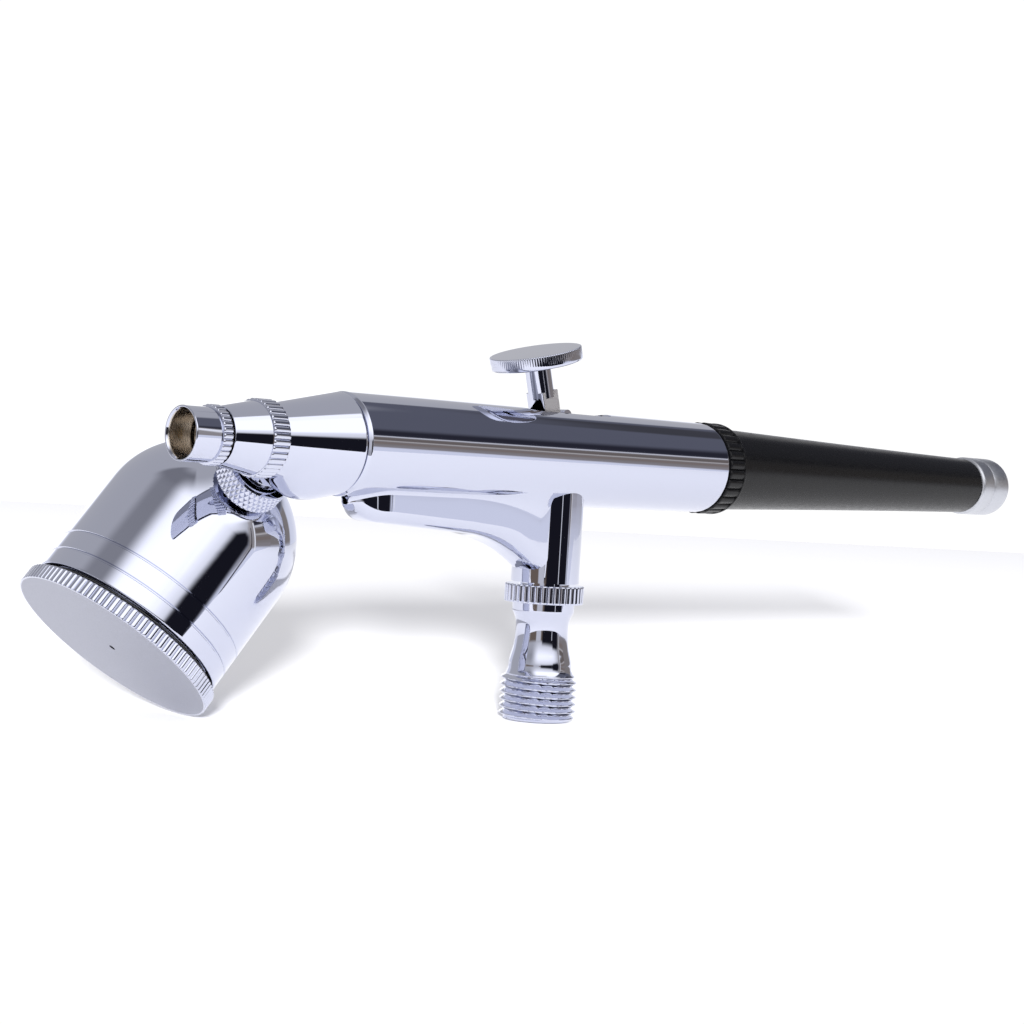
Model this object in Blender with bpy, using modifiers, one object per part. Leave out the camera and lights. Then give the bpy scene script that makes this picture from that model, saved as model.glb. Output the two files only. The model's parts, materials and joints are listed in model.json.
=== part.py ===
"""Side-feed, double-action airbrush gun.

The design is laid out in millimetres around one point, the core: where the barrel's
axis crosses the air valve's axis. X runs along the barrel from nozzle to handle, Z is
up, and the colour cup hangs on the +Y side. The valve's lower end and the edge of the
cup's lid stand on Z = 0, and the origin is under the middle of the whole tool.

Each turned piece is an outline of (along, radius) points. It starts at the far end
of its outer side, runs back along it, and returns through the bore if it has one.
"""
import math

import bmesh
import bpy
from mathutils import Euler, Vector

MM = 0.001
GAP = 0.3                  # clearance left between two pieces that touch

# Barrel, along X from the core
BARREL_R = 6.08
BARREL_FRONT = -35.1
BARREL_REAR = 27.7
BORE_R = 4.5
BORE_FRONT = -10.0
NOSE_TIP = -56.7           # front edge of the needle cap
CAP_R = 3.07               # needle cap
AIR_CAP_RING_R = 4.45
HANDLE_FRONT = 31.5
HANDLE_REAR = 91.2
HANDLE_FRONT_R = 5.6
HANDLE_REAR_R = 4.24
HANDLE_RING_R = 6.27
TOOL_REAR = 100.0
END_CAP_R = 4.5

# Air valve, along Z from the core
STEM_R = 4.34
STEM_END = -15.8
VALVE_END = -33.25
VALVE_RING_R = 5.05
VALVE_BORE_R = 2.6
THREAD_R = 9.728 / 2       # G1/8 pipe thread
THREAD_PITCH = 0.907
THREAD_TURNS = 6

# Brace under the barrel, which carries the air duct from the valve to the head
BRACE_HALF = 3.2
BRACE_TIP = -33.4
BRACE_EDGE_R = 1.5

# Trigger, up from its pivot on top of the valve plunger
PIVOT = (0.3, 0.0, -2.6)
TRIGGER_LEAN = 15.8        # degrees forwards at rest
TRIGGER_HALF = 1.5
BUTTON_R = 5.9
BUTTON_BASE = 14.7
BUTTON_THICK = 1.75
SLOT_HALF = 1.95
SLOT_FRONT = -6.5
SLOT_REAR = 9.4

# Back lever, up from its pins in the needle tube
LEVER_PIVOT = (3.4, 0.0, 0.0)
LEVER_LEAN = 25.8

# Needle and its sliding tube
NEEDLE_R = 0.6
NEEDLE_TIP = -54.2
NEEDLE_REAR = 62.0
TUBE_R = 1.3

# Colour cup: its port leaves the head sideways and down
PORT_X = -42.28
PORT_DROP = 36.2           # degrees below level
CUP_REACH = 21.3           # barrel axis to the centre of the cup's dome
CUP_R = 12.3
CUP_WALL = 0.9
CUP_LEAN = 38.72           # degrees forwards from the vertical
CUP_SIDE_LEAN = 1.562      # degrees outwards
CUP_MOUTH = 13.5           # dome centre to the open edge
LID_R = 12.95
LID_RIM = 1.9

# Places that follow from these
PORT_DIR = Vector((0, math.cos(math.radians(PORT_DROP)), -math.sin(math.radians(PORT_DROP))))
CUP_CENTRE = Vector((PORT_X, 0, 0)) + CUP_REACH * PORT_DIR
CUP_TILT = Euler((math.radians(-CUP_SIDE_LEAN), math.radians(180 + CUP_LEAN), 0))
CUP_AXIS = CUP_TILT.to_matrix() @ Vector((0, 0, 1))
# the lid's lowest edge is level with the valve's end
LID_FACE = (CUP_CENTRE.z - VALVE_END - LID_R * math.sqrt(1 - CUP_AXIS.z ** 2)) / -CUP_AXIS.z
LOW_X = CUP_CENTRE.x + LID_FACE * CUP_AXIS.x - LID_R * math.sqrt(1 - CUP_AXIS.x ** 2)
HIGH_Y = CUP_CENTRE.y + LID_FACE * CUP_AXIS.y + LID_R * math.sqrt(1 - CUP_AXIS.y ** 2)
CORE = Vector((-(LOW_X + TOOL_REAR) / 2, -(HIGH_Y - HANDLE_RING_R) / 2, -VALVE_END))


# Scene and materials

def clear_scene():
    for old in list(bpy.data.objects):
        bpy.data.objects.remove(old, do_unlink=True)


def new_collection(name):
    made = bpy.data.collections.new(name)
    bpy.context.scene.collection.children.link(made)
    return made


def new_material(name, colour, metallic, roughness):
    made = bpy.data.materials.new(name)
    made.use_nodes = True
    shader = made.node_tree.nodes["Principled BSDF"]
    shader.inputs["Base Color"].default_value = (*colour, 1.0)
    shader.inputs["Metallic"].default_value = metallic
    shader.inputs["Roughness"].default_value = roughness
    made.diffuse_color = (*colour, 1.0)
    return made


clear_scene()
PARTS = new_collection("airbrush_gun")
CUTTERS = new_collection("airbrush_gun_cutters")

CHROME = new_material("polished_chrome", (0.78, 0.79, 0.82), 1.0, 0.08)
BRASS = new_material("brass", (0.72, 0.53, 0.24), 1.0, 0.3)
STEEL = new_material("stainless_steel", (0.6, 0.6, 0.6), 1.0, 0.25)
BLACK = new_material("black_anodised_aluminium", (0.015, 0.015, 0.017), 0.6, 0.4)
SATIN = new_material("satin_aluminium", (0.7, 0.71, 0.74), 1.0, 0.35)
RUBBER = new_material("black_rubber", (0.02, 0.02, 0.02), 0.0, 0.6)
PTFE = new_material("white_ptfe", (0.85, 0.85, 0.83), 0.0, 0.5)


# Frames: empties whose Z runs along the pieces they carry

def new_frame(name, place, tilt=(0, 0, 0)):
    made = bpy.data.objects.new(name, None)
    made.empty_display_size = 5 * MM
    made.location = (CORE + Vector(place)) * MM
    made.rotation_euler = [math.radians(angle) for angle in tilt]
    PARTS.objects.link(made)
    return made


BARREL = new_frame("barrel_frame", (0, 0, 0), (0, 90, 0))
VALVE = new_frame("valve_frame", (0, 0, 0))
PORT = new_frame("port_frame", (PORT_X, 0, 0), (-90 - PORT_DROP, 0, 0))
CUP = new_frame("cup_frame", CUP_CENTRE, (-CUP_SIDE_LEAN, 180 + CUP_LEAN, 0))
TRIGGER = new_frame("trigger_frame", PIVOT, (0, -TRIGGER_LEAN, 0))
LEVER = new_frame("back_lever_frame", LEVER_PIVOT, (0, -LEVER_LEAN, 0))


# Shapes

def place(name, data, frame, material, along=0.0):
    """Make an object from a mesh or curve, at a distance along its frame."""
    made = bpy.data.objects.new(name, data)
    made.parent = frame
    made.location = (0, 0, along * MM)
    data.materials.append(material)
    PARTS.objects.link(made)
    return made


def as_cutter(tool):
    """Keep a cutting or joining shape out of the finished object."""
    PARTS.objects.unlink(tool)
    CUTTERS.objects.link(tool)
    tool.hide_render = True
    tool.display_type = "WIRE"
    return tool


def combine(target, tool, operation):
    step = target.modifiers.new(tool.name, "BOOLEAN")
    step.operation = operation
    step.solver = "EXACT"
    step.object = as_cutter(tool)
    return target


def cut(target, *tools):
    for tool in tools:
        combine(target, tool, "DIFFERENCE")
    return target


def join(target, *tools):
    for tool in tools:
        combine(target, tool, "UNION")
    return target


def turned(name, outline, frame, material, segments=32):
    """Spin an outline of (along, radius) points, in mm, about the frame's Z."""
    mesh = bpy.data.meshes.new(name)
    points = [(radius * MM, 0, along * MM) for along, radius in outline]
    edges = [(i, i + 1) for i in range(len(points) - 1)]
    if outline[0][1] > 0:
        edges.append((len(points) - 1, 0))
    mesh.from_pydata(points, edges, [])
    made = place(name, mesh, frame, material)
    spin = made.modifiers.new("turn", "SCREW")
    spin.axis = "Z"
    spin.steps = segments
    spin.render_steps = segments
    spin.use_merge_vertices = True
    spin.merge_threshold = 1e-6
    spin.use_smooth_shade = True
    return made


def tube(low, high, outer, inner):
    """Outline of a plain tube from low to high."""
    return [(high, outer), (low, outer), (low, inner), (high, inner)]


def rod(low, high, radius):
    """Outline of a plain rod from low to high."""
    return [(high, 0), (high, radius), (low, radius), (low, 0)]


def drill(name, low, high, radius, frame, segments=24):
    return turned(name, rod(low, high, radius), frame, CHROME, segments)


def arc(centre, radius, start, stop, steps):
    """Outline points on a circle round a point of the axis, angles from its +along side."""
    points = []
    for i in range(steps + 1):
        angle = math.radians(start + (stop - start) * i / steps)
        points.append((centre + radius * math.cos(angle), radius * math.sin(angle)))
    return points


def box(name, low, high, frame, material=CHROME, bevel=0.0):
    """Box between two corners, in mm, in the frame's own directions."""
    mesh = bpy.data.meshes.new(name)
    shape = bmesh.new()
    bmesh.ops.create_cube(shape, size=1.0)
    size = (Vector(high) - Vector(low)) * MM
    bmesh.ops.scale(shape, vec=size, verts=shape.verts)
    bmesh.ops.translate(shape, vec=(Vector(high) + Vector(low)) / 2 * MM, verts=shape.verts)
    shape.to_mesh(mesh)
    shape.free()
    made = place(name, mesh, frame, material)
    if bevel:
        edge = made.modifiers.new("edges", "BEVEL")
        edge.width = bevel * MM
        edge.segments = 2
    return made


def cross_rod(name, middle, radius, half_length, frame, material=CHROME, segments=20):
    """Cylinder across the frame, along its Y."""
    mesh = bpy.data.meshes.new(name)
    shape = bmesh.new()
    bmesh.ops.create_cone(shape, cap_ends=True, segments=segments, radius1=radius * MM,
                          radius2=radius * MM, depth=2 * half_length * MM)
    for vert in shape.verts:
        x, y, z = vert.co
        vert.co = Vector((x, -z, y)) + Vector(middle) * MM
    shape.to_mesh(mesh)
    shape.free()
    return place(name, mesh, frame, material)


def coil(name, low, high, radius, wire, turns, frame, material):
    """Compression spring: a helix of round wire, closed at both ends."""
    per_turn = 8
    curve = bpy.data.curves.new(name, "CURVE")
    curve.dimensions = "3D"
    curve.bevel_depth = wire * MM
    curve.bevel_resolution = 2
    curve.use_fill_caps = True
    curve.resolution_u = 1
    curve.render_resolution_u = 0
    path = curve.splines.new("POLY")
    count = turns * per_turn + 1
    path.points.add(count - 1)
    start = low + wire
    rise = high - low - 2 * wire
    for i in range(count):
        angle = 2 * math.pi * i / per_turn
        height = start + rise * i / (count - 1)
        spot = (radius * math.cos(angle), radius * math.sin(angle), height)
        path.points[i].co = (*[value * MM for value in spot], 1)
    return place(name, curve, frame, material)


# Nose: needle cap, air cap, fluid nozzle and head

def make_needle_cap():
    ring_front = NOSE_TIP + 3.4
    rear = NOSE_TIP + 4.6
    outline = [(rear, 3.39), (ring_front, 3.39), (ring_front, CAP_R), (NOSE_TIP, CAP_R),
               (NOSE_TIP, CAP_R - 0.25), (NOSE_TIP + 0.4, 2.65), (rear, 2.65)]
    turned("needle_cap", outline, BARREL, CHROME, 28)


def make_nozzle_cap():
    rear = -45.1
    ring_front = -47.34
    cone_front = NOSE_TIP + 4.9
    outline = [(rear, AIR_CAP_RING_R), (ring_front, AIR_CAP_RING_R), (ring_front, 4.18),
               (cone_front, 3.29), (cone_front, 2.3), (-53.4, 2.3), (-53.4, 0.85),
               (-52.7, 0.85), (-52.0, 1.5), (-51.0, 1.5), (-50.7, 2.6), (-47.8, 2.6),
               (-47.5, 3.25), (rear, 3.25)]
    turned("nozzle_cap", outline, BARREL, CHROME, 28)


def make_fluid_nozzle():
    outline = [(-45.9, 1.25), (-48.6, 1.25), (-48.6, 2.0), (-49.9, 2.0), (-50.2, 1.3),
               (-53.1, 0.5), (-53.1, 0.3), (-49.5, 0.85), (-45.9, 0.85)]
    turned("fluid_nozzle", outline, BARREL, BRASS, 16)
    turned("nozzle_seal", tube(-48.3, -47.5, 1.9, 1.55), BARREL, PTFE, 16)


def make_fluid_head():
    front = BARREL_FRONT - 9.8
    back = BARREL_FRONT - GAP
    outline = [(-31.6, 0), (-31.6, 4.1), (back, 4.1), (back, 5.85), (back - 0.15, 6.0),
               (front, 4.05), (front, 2.95), (front - 2.3, 2.95), (front - 2.3, 0)]
    head = turned("fluid_head", outline, BARREL, CHROME, 32)

    # belly towards the cup, stopped where the head meets the barrel and cut flat for the port
    mesh = bpy.data.meshes.new("head_belly")
    shape = bmesh.new()
    bmesh.ops.create_uvsphere(shape, u_segments=20, v_segments=12, radius=MM)
    bmesh.ops.scale(shape, vec=(5.3, 5.3, 5.8), verts=shape.verts)
    bmesh.ops.translate(shape, vec=(1.4 * MM, 1.3 * MM, -38.8 * MM), verts=shape.verts)
    geometry = shape.verts[:] + shape.edges[:] + shape.faces[:]
    plane = (0, 0, (back - 0.02) * MM)
    bmesh.ops.bisect_plane(shape, geom=geometry, plane_co=plane, plane_no=(0, 0, 1),
                           clear_outer=True)
    bmesh.ops.holes_fill(shape, edges=[e for e in shape.edges if e.is_boundary])
    shape.to_mesh(mesh)
    shape.free()
    belly = place("head_belly", mesh, BARREL, CHROME)
    cut(belly, drill("port_flat", 5.5, 12.0, 8.0, PORT))

    outline = [(6.4, 0), (6.4, 2.5), (5.6, 2.5), (5.6, 3.1), (4.9, 3.1), (4.5, 2.4), (1.5, 2.4),
               (1.5, 0)]
    boss = turned("port_boss", outline, PORT, CHROME, 28)
    join(head, belly, boss)
    cut(head, drill("needle_way", -48.0, -31.0, 0.95, BARREL, 16),
        drill("nozzle_thread", -48.0, -45.6, 1.6, BARREL, 20),
        drill("paint_way", 0.0, 7.0, 1.0, PORT, 16))
    for turn in (30, 210, 330):
        hole = drill("air_way_%d" % turn, -48.0, -31.0, 0.3, BARREL, 8)
        hole.location.x = 2.28 * MM * math.cos(math.radians(turn))
        hole.location.y = 2.28 * MM * math.sin(math.radians(turn))
        cut(head, hole)
    turned("head_seal", tube(-31.3, -30.9, 1.9, 1.3), BARREL, PTFE, 16)


# Barrel: tube, valve stem and the brace between them

def brace_bottom(x):
    """Height of the brace's underside: a rounded tip, a long slope, then a sweep down."""
    tip_length = 4.0
    if x < BRACE_TIP + tip_length:
        t = (BRACE_TIP + tip_length - x) / tip_length
        return -5.6 - 3.3 * math.sqrt(max(0.0, 1 - t * t))
    slope = -8.9 - 0.067 * (x - BRACE_TIP - tip_length)
    sweep = 0.026 * max(0.0, x + 16.0) ** 2
    return slope - sweep


def brace_fillet(x):
    """Radius of the hollow between brace and barrel, which swells towards the stem."""
    swell = 6.0 * max(0.0, (x + 20.0) / 16.0) ** 3
    fade = min(1.0, max(0.0, (-2.6 - x) / 2.0))
    return 0.8 + swell * fade


def brace_section(x):
    """Right half of the brace's cross-section, from inside the barrel to its underside."""
    tip = min(1.0, (x - BRACE_TIP) / 5.0)
    half = BRACE_HALF * math.sqrt(max(0.02, 1 - (1 - tip) ** 2))
    radius = brace_fillet(x)
    centre_y = half + radius
    centre_z = -math.sqrt((BARREL_R + radius) ** 2 - centre_y ** 2)
    start = math.atan2(-centre_z, -centre_y)
    points = [(half * 0.5, -3.0)]
    steps = 5
    for i in range(steps + 1):
        angle = start + (math.pi - start) * i / steps
        points.append((centre_y + radius * math.cos(angle), centre_z + radius * math.sin(angle)))
    bottom = min(brace_bottom(x), points[-1][1] - 0.2)
    edge = min(BRACE_EDGE_R, half * 0.6, points[-1][1] - bottom)
    for i in range(4):
        angle = math.radians(30 * i)
        points.append((half - edge + edge * math.cos(angle), bottom + edge - edge * math.sin(angle)))
    return points


def make_brace():
    stations = [BRACE_TIP + 0.05, -33.0, -32.4, -31.5, -30.4, -29.2, -26.0, -22.0, -18.0,
                -15.0, -12.5, -10.5, -9.0, -7.6, -6.4, -5.4, -4.6, -3.9, -3.2, -2.6, -1.5]
    mesh = bpy.data.meshes.new("brace")
    shape = bmesh.new()
    rings = []
    for x in stations:
        right = brace_section(x)
        around = right + [(-y, z) for y, z in reversed(right)]
        rings.append([shape.verts.new((x * MM, y * MM, z * MM)) for y, z in around])
    count = len(rings[0])
    for front, back in zip(rings, rings[1:]):
        for i in range(count):
            j = (i + 1) % count
            shape.faces.new((front[i], front[j], back[j], back[i]))
    shape.faces.new(rings[0])
    shape.faces.new(rings[-1])
    bmesh.ops.recalc_face_normals(shape, faces=shape.faces)
    shape.to_mesh(mesh)
    shape.free()
    return place("brace", mesh, VALVE, CHROME)


def make_slot():
    """Cutter with round ends for the trigger's slot in the top of the barrel."""
    mesh = bpy.data.meshes.new("trigger_slot")
    shape = bmesh.new()
    bmesh.ops.create_cone(shape, cap_ends=True, segments=26, radius1=SLOT_HALF * MM,
                          radius2=SLOT_HALF * MM, depth=10 * MM)
    rear = [vert for vert in shape.verts if vert.co.x > 0]
    stretch = SLOT_REAR - SLOT_FRONT - 2 * SLOT_HALF
    bmesh.ops.translate(shape, vec=(stretch * MM, 0, 0), verts=rear)
    bmesh.ops.translate(shape, vec=((SLOT_FRONT + SLOT_HALF) * MM, 0, 6.3 * MM), verts=shape.verts)
    shape.to_mesh(mesh)
    shape.free()
    return place("trigger_slot", mesh, VALVE, CHROME)


def make_barrel():
    chamfer = 0.25
    outline = [(BARREL_REAR, 0), (BARREL_REAR, BARREL_R - chamfer),
               (BARREL_REAR - chamfer, BARREL_R), (BARREL_FRONT + chamfer, BARREL_R),
               (BARREL_FRONT, BARREL_R - chamfer), (BARREL_FRONT, 0)]
    barrel = turned("barrel", outline, BARREL, CHROME, 40)
    stem = turned("valve_stem", rod(STEM_END, -1.0, STEM_R), VALVE, CHROME, 32)
    join(barrel, stem, make_brace())
    cut(barrel, make_slot(),
        drill("head_socket", BARREL_FRONT - 1, BARREL_FRONT + 4.5, 4.4, BARREL, 32),
        drill("needle_bore", BARREL_FRONT, -9.0, 1.1, BARREL, 16),
        drill("packing_bore", -17.0, -9.0, 2.0, BARREL, 20),
        drill("main_bore", BORE_FRONT, BARREL_REAR + 1, BORE_R, BARREL, 32),
        drill("lever_well", -9.5, -1.0, 2.4, VALVE, 24),
        drill("valve_thread", STEM_END - 1, -9.0, 3.5, VALVE, 28))
    # the air duct rises from the valve, through the brace, to the head's socket
    start = Vector((-1.0, 0, -7.6))
    end = Vector((-31.2, 0, -3.2))
    duct = drill("air_duct", 0.0, (end - start).length, 0.65, VALVE, 10)
    duct.location = start * MM
    duct.rotation_euler = (end - start).to_track_quat("Z", "Y").to_euler()
    cut(barrel, duct)


# Needle and everything that slides with it

def make_needle_group():
    outline = [(NEEDLE_REAR, 0), (NEEDLE_REAR - 0.3, NEEDLE_R), (-46.0, NEEDLE_R),
               (NEEDLE_TIP, 0.06), (NEEDLE_TIP - 0.05, 0)]
    turned("needle", outline, BARREL, STEEL, 16)
    turned("needle_packing", tube(-16.7, -15.0, 1.7, 0.9), BARREL, PTFE, 16)
    screw = turned("packing_screw", tube(-14.7, -10.3, 1.7, 0.95), BARREL, BRASS, 20)
    cut(screw, box("screw_slot", (-2.5, -0.35, -11.0), (2.5, 0.35, -10.0), BARREL))

    outline = [(44.0, TUBE_R), (9.4, TUBE_R), (9.4, 3.3), (8.4, 3.3), (8.4, TUBE_R),
               (5.0, TUBE_R), (5.0, 1.9), (2.2, 1.9), (2.2, 0.9), (44.0, 0.9)]
    carrier = turned("needle_tube", outline, BARREL, BRASS, 20)
    cut(carrier, cross_rod("pin_holes", LEVER_PIVOT, 0.7, 4.0, VALVE, segments=12))
    for side, name in ((-1, "back_lever_pin_left"), (1, "back_lever_pin_right")):
        cross_rod(name, Vector(LEVER_PIVOT) + Vector((0, side * 2.0, 0)), 0.4, 0.8, VALVE,
                  STEEL, 12)
    outline = [(46.5, 2.4), (46.0, 2.7), (40.5, 2.7), (40.0, 2.4), (40.0, TUBE_R + GAP),
               (44.3, TUBE_R + GAP), (44.3, 0.9), (46.5, 0.9)]
    turned("needle_lock_nut", outline, BARREL, BRASS, 20)
    coil("needle_spring", 9.7, 19.7, 2.3, 0.3, 5, BARREL, STEEL)
    outline = [(21.2, 4.2), (13.0, 4.2), (13.0, 3.0), (20.0, 3.0), (20.0, 1.7), (21.2, 1.7)]
    turned("spring_case", outline, BARREL, BRASS, 24)


# Handle

def handle_radius(t):
    """Slightly hollow taper from the barrel end, t = 0, to the end cap, t = 1."""
    bow = 0.3
    return HANDLE_FRONT_R + (HANDLE_REAR_R - HANDLE_FRONT_R - bow) * t + bow * t * t


def make_handle():
    steps = 4
    length = HANDLE_REAR - HANDLE_FRONT
    outline = []
    for i in range(steps + 1):
        t = 1 - i / steps
        outline.append((HANDLE_FRONT + length * t, handle_radius(t)))
    outline += [(HANDLE_FRONT, 4.2), (21.6, 4.2), (21.6, 3.3), (85.0, 3.3), (85.3, 3.0),
                (HANDLE_REAR, 3.0)]
    turned("handle", outline, BARREL, BLACK, 32)

    ring = turned("handle_ring", tube(BARREL_REAR + GAP, HANDLE_FRONT - GAP, HANDLE_RING_R, 4.5),
                  BARREL, BLACK, 52)
    ring.modifiers["turn"].use_smooth_shade = False

    round_r = 2.2
    flat = TOOL_REAR - round_r
    outline = [(TOOL_REAR, 0)]
    for i in range(5):
        angle = math.radians(90 - 22.5 * i)
        outline.append((flat + round_r * math.sin(angle),
                        END_CAP_R - round_r + round_r * math.cos(angle)))
    outline += [(HANDLE_REAR + GAP, END_CAP_R), (HANDLE_REAR + GAP, 2.7), (86.0, 2.7), (86.0, 0)]
    turned("handle_end_cap", outline, BARREL, SATIN, 32)


# Trigger and back lever

def make_trigger():
    top = BUTTON_BASE + BUTTON_THICK
    outline = [(top, 0), (top, BUTTON_R - 0.2), (top - 0.2, BUTTON_R),
               (BUTTON_BASE + 0.3, BUTTON_R), (BUTTON_BASE, BUTTON_R - 0.4),
               (BUTTON_BASE, 1.1), (BUTTON_BASE + 1.2, 1.1), (BUTTON_BASE + 1.2, 0)]
    turned("trigger_button", outline, TRIGGER, CHROME, 36)

    foot = 1.0
    lever = box("trigger_lever", (-TRIGGER_HALF, -TRIGGER_HALF, 0.7),
                (TRIGGER_HALF, TRIGGER_HALF, 11.3), TRIGGER)
    outline = [(BUTTON_BASE + 0.9, 0), (BUTTON_BASE + 0.9, 0.8), (BUTTON_BASE - GAP, 0.8),
               (BUTTON_BASE - GAP, 1.65), (10.5, 1.65), (10.5, 0)]
    post = turned("trigger_post", outline, TRIGGER, CHROME, 24)
    join(lever, post,
         box("trigger_neck", (-0.9, -TRIGGER_HALF, 0.0), (0.9, TRIGGER_HALF, 1.0), TRIGGER),
         cross_rod("trigger_foot", (0, 0, 0), foot, TRIGGER_HALF, TRIGGER))
    cut(lever, box("needle_gap", (-3, -0.9, 1.3), (3, 0.9, 6.3), TRIGGER))


def make_back_lever():
    tip = 6.1
    lever = box("back_lever", (-0.6, -1.5, 2.8), (0.6, 1.5, tip), LEVER)
    join(lever, cross_rod("lever_tip", (0, 0, tip), 0.75, 1.5, LEVER),
         box("lever_bridge", (-0.61, -2.8, 2.3), (0.61, 2.8, 3.1), LEVER))
    for side, name in ((-1, "left"), (1, "right")):
        near, far = sorted((side * 2.2, side * 2.8))
        join(lever, box("cheek_" + name, (-0.9, near, -1.1), (0.9, far, 2.9), LEVER))
    cut(lever, cross_rod("lever_pin_hole", (0, 0, 0), 0.7, 4.0, LEVER, segments=12))


# Air valve

def make_valve():
    ring_top = STEM_END - GAP
    thread_top = VALVE_END + 5.85
    outline = [(-9.9, 3.2), (ring_top, 3.2), (ring_top, VALVE_RING_R - 0.2),
               (ring_top - 0.2, VALVE_RING_R), (ring_top - 2.1, VALVE_RING_R),
               (ring_top - 2.3, VALVE_RING_R - 0.2), (ring_top - 2.3, 3.95), (-19.5, 3.95),
               (-20.0, 3.65), (-20.7, 3.42), (-21.6, 3.35), (-23.0, 3.4), (-24.35, 3.6),
               (-25.3, 3.85), (-26.2, 4.02), (thread_top, 4.05)]
    root = THREAD_R - 0.581
    for turn in range(THREAD_TURNS):
        crest = thread_top - 0.45 - turn * THREAD_PITCH
        outline += [(crest + 0.36, root), (crest + 0.06, THREAD_R), (crest - 0.06, THREAD_R),
                    (crest - 0.36, root)]
    outline += [(VALVE_END, root), (VALVE_END, VALVE_BORE_R), (-17.5, VALVE_BORE_R),
                (-17.5, 1.25), (-9.9, 1.25)]
    turned("valve_body", outline, VALVE, CHROME, 28)

    turned("valve_washer", tube(-9.6, -9.3, 3.1, 1.5), VALVE, RUBBER, 20)
    outline = [(-3.9, 0), (-3.9, 1.6), (-4.2, 1.9), (-5.4, 1.9), (-5.4, 0.9), (-18.7, 0.9),
               (-18.7, 2.1), (-19.6, 2.1), (-19.6, 0.9), (-21.0, 0.9), (-21.0, 0)]
    turned("valve_plunger", outline, VALVE, BRASS, 24)
    turned("valve_seal", tube(-18.4, -17.8, 2.1, 1.2), VALVE, RUBBER, 16)
    coil("valve_spring", -28.0, -19.9, 1.7, 0.25, 5, VALVE, STEEL)
    screw = turned("valve_screw", tube(-31.0, -28.3, VALVE_BORE_R - GAP, 0.9), VALVE, BRASS, 24)
    cut(screw, box("driver_slot", (-3, -0.4, -32.0), (3, 0.4, -30.2), VALVE))


# Colour cup

def make_cup():
    inner = CUP_R - CUP_WALL
    groove = 0.18
    outline = [(CUP_MOUTH, CUP_R)]
    for middle in (11.3, 8.8):
        outline += [(middle + groove, CUP_R), (middle, CUP_R - groove), (middle - groove, CUP_R)]
    outline += arc(0, CUP_R, 90, 180, 8)[:-1] + [(-CUP_R, 0), (-inner, 0)]
    outline += arc(0, inner, 180, 90, 6)[1:] + [(CUP_MOUTH, inner)]
    outline = outline[outline.index((-inner, 0)):] + outline[:outline.index((-inner, 0))]
    bowl = turned("cup_bowl", outline, CUP, CHROME, 36)

    # the stub with its flange, which the union nut pulls against the head's port
    dome = CUP_REACH - CUP_R
    stub = turned("cup_stub", [(dome + 0.5, 0), (dome + 0.5, 1.75), (7.6, 1.75), (7.6, 2.5),
                               (7.2, 2.5), (7.2, 0)], PORT, CHROME, 24)
    join(bowl, stub)
    cut(bowl, drill("cup_outlet", 6.0, dome + 3.0, 1.0, PORT, 16))

    turned("cup_port_seal", tube(6.7, 6.9, 2.4, 1.3), PORT, PTFE, 16)
    outline = [(8.8, 3.9), (8.5, 4.2), (6.2, 4.2), (5.9, 3.9), (5.9, 2.85), (7.9, 2.85),
               (7.9, 2.05), (8.8, 2.05)]
    turned("cup_union_nut", outline, PORT, CHROME, 28)

    plug = inner - GAP
    rim = LID_FACE - LID_RIM
    outline = [(LID_FACE, 0.4), (LID_FACE, LID_R), (rim, LID_R), (rim, plug),
               (rim - 3.0, plug), (rim - 3.0, plug - 0.9), (rim + 0.6, plug - 0.9), (rim + 0.6, 0.4)]
    turned("cup_lid", outline, CUP, CHROME, 36)
    turned("lid_gasket", tube(CUP_MOUTH + 0.3, rim - 0.3, CUP_R - 0.1, inner - 0.1), CUP, RUBBER, 36)


make_needle_cap()
make_nozzle_cap()
make_fluid_nozzle()
make_fluid_head()
make_barrel()
make_needle_group()
make_handle()
make_trigger()
make_back_lever()
make_valve()
make_cup()
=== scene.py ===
# %% [markdown]
# # An airbrush gun, piece by piece
# The solid model of the airbrush is finished: it has the right sizes, and its trigger,
# needle and cup move. It is plain, though, with flat facets and no flutes or threads.
# This lesson keeps that model as a fixed frame and gives it its looks. Nearly all of it
# is mirror-bright chrome, and chrome shows only two things: how smooth a surface is, and
# what stands around it. So most cells make smooth turned shapes, and one cell near the
# end sets up the studio that they reflect.

# %% Load the frame
import json
import math

import bmesh
import bpy
from mathutils import Matrix, Vector


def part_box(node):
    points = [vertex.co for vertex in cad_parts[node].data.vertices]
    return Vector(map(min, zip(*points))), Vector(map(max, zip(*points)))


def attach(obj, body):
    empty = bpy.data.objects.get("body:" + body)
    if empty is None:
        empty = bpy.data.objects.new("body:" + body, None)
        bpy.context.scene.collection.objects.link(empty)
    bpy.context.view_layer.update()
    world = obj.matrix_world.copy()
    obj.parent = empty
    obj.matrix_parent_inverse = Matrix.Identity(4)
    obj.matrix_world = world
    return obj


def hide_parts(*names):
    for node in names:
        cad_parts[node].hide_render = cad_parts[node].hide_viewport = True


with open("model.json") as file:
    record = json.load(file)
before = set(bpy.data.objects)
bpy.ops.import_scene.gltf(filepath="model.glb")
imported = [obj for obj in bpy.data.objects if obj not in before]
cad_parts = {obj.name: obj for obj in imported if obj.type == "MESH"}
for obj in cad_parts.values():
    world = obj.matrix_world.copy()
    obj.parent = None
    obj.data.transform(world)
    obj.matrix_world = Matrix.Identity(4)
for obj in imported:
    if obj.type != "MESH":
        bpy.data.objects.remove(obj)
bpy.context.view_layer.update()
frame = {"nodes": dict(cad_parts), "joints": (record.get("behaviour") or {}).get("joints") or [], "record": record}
record = frame["record"]

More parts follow.
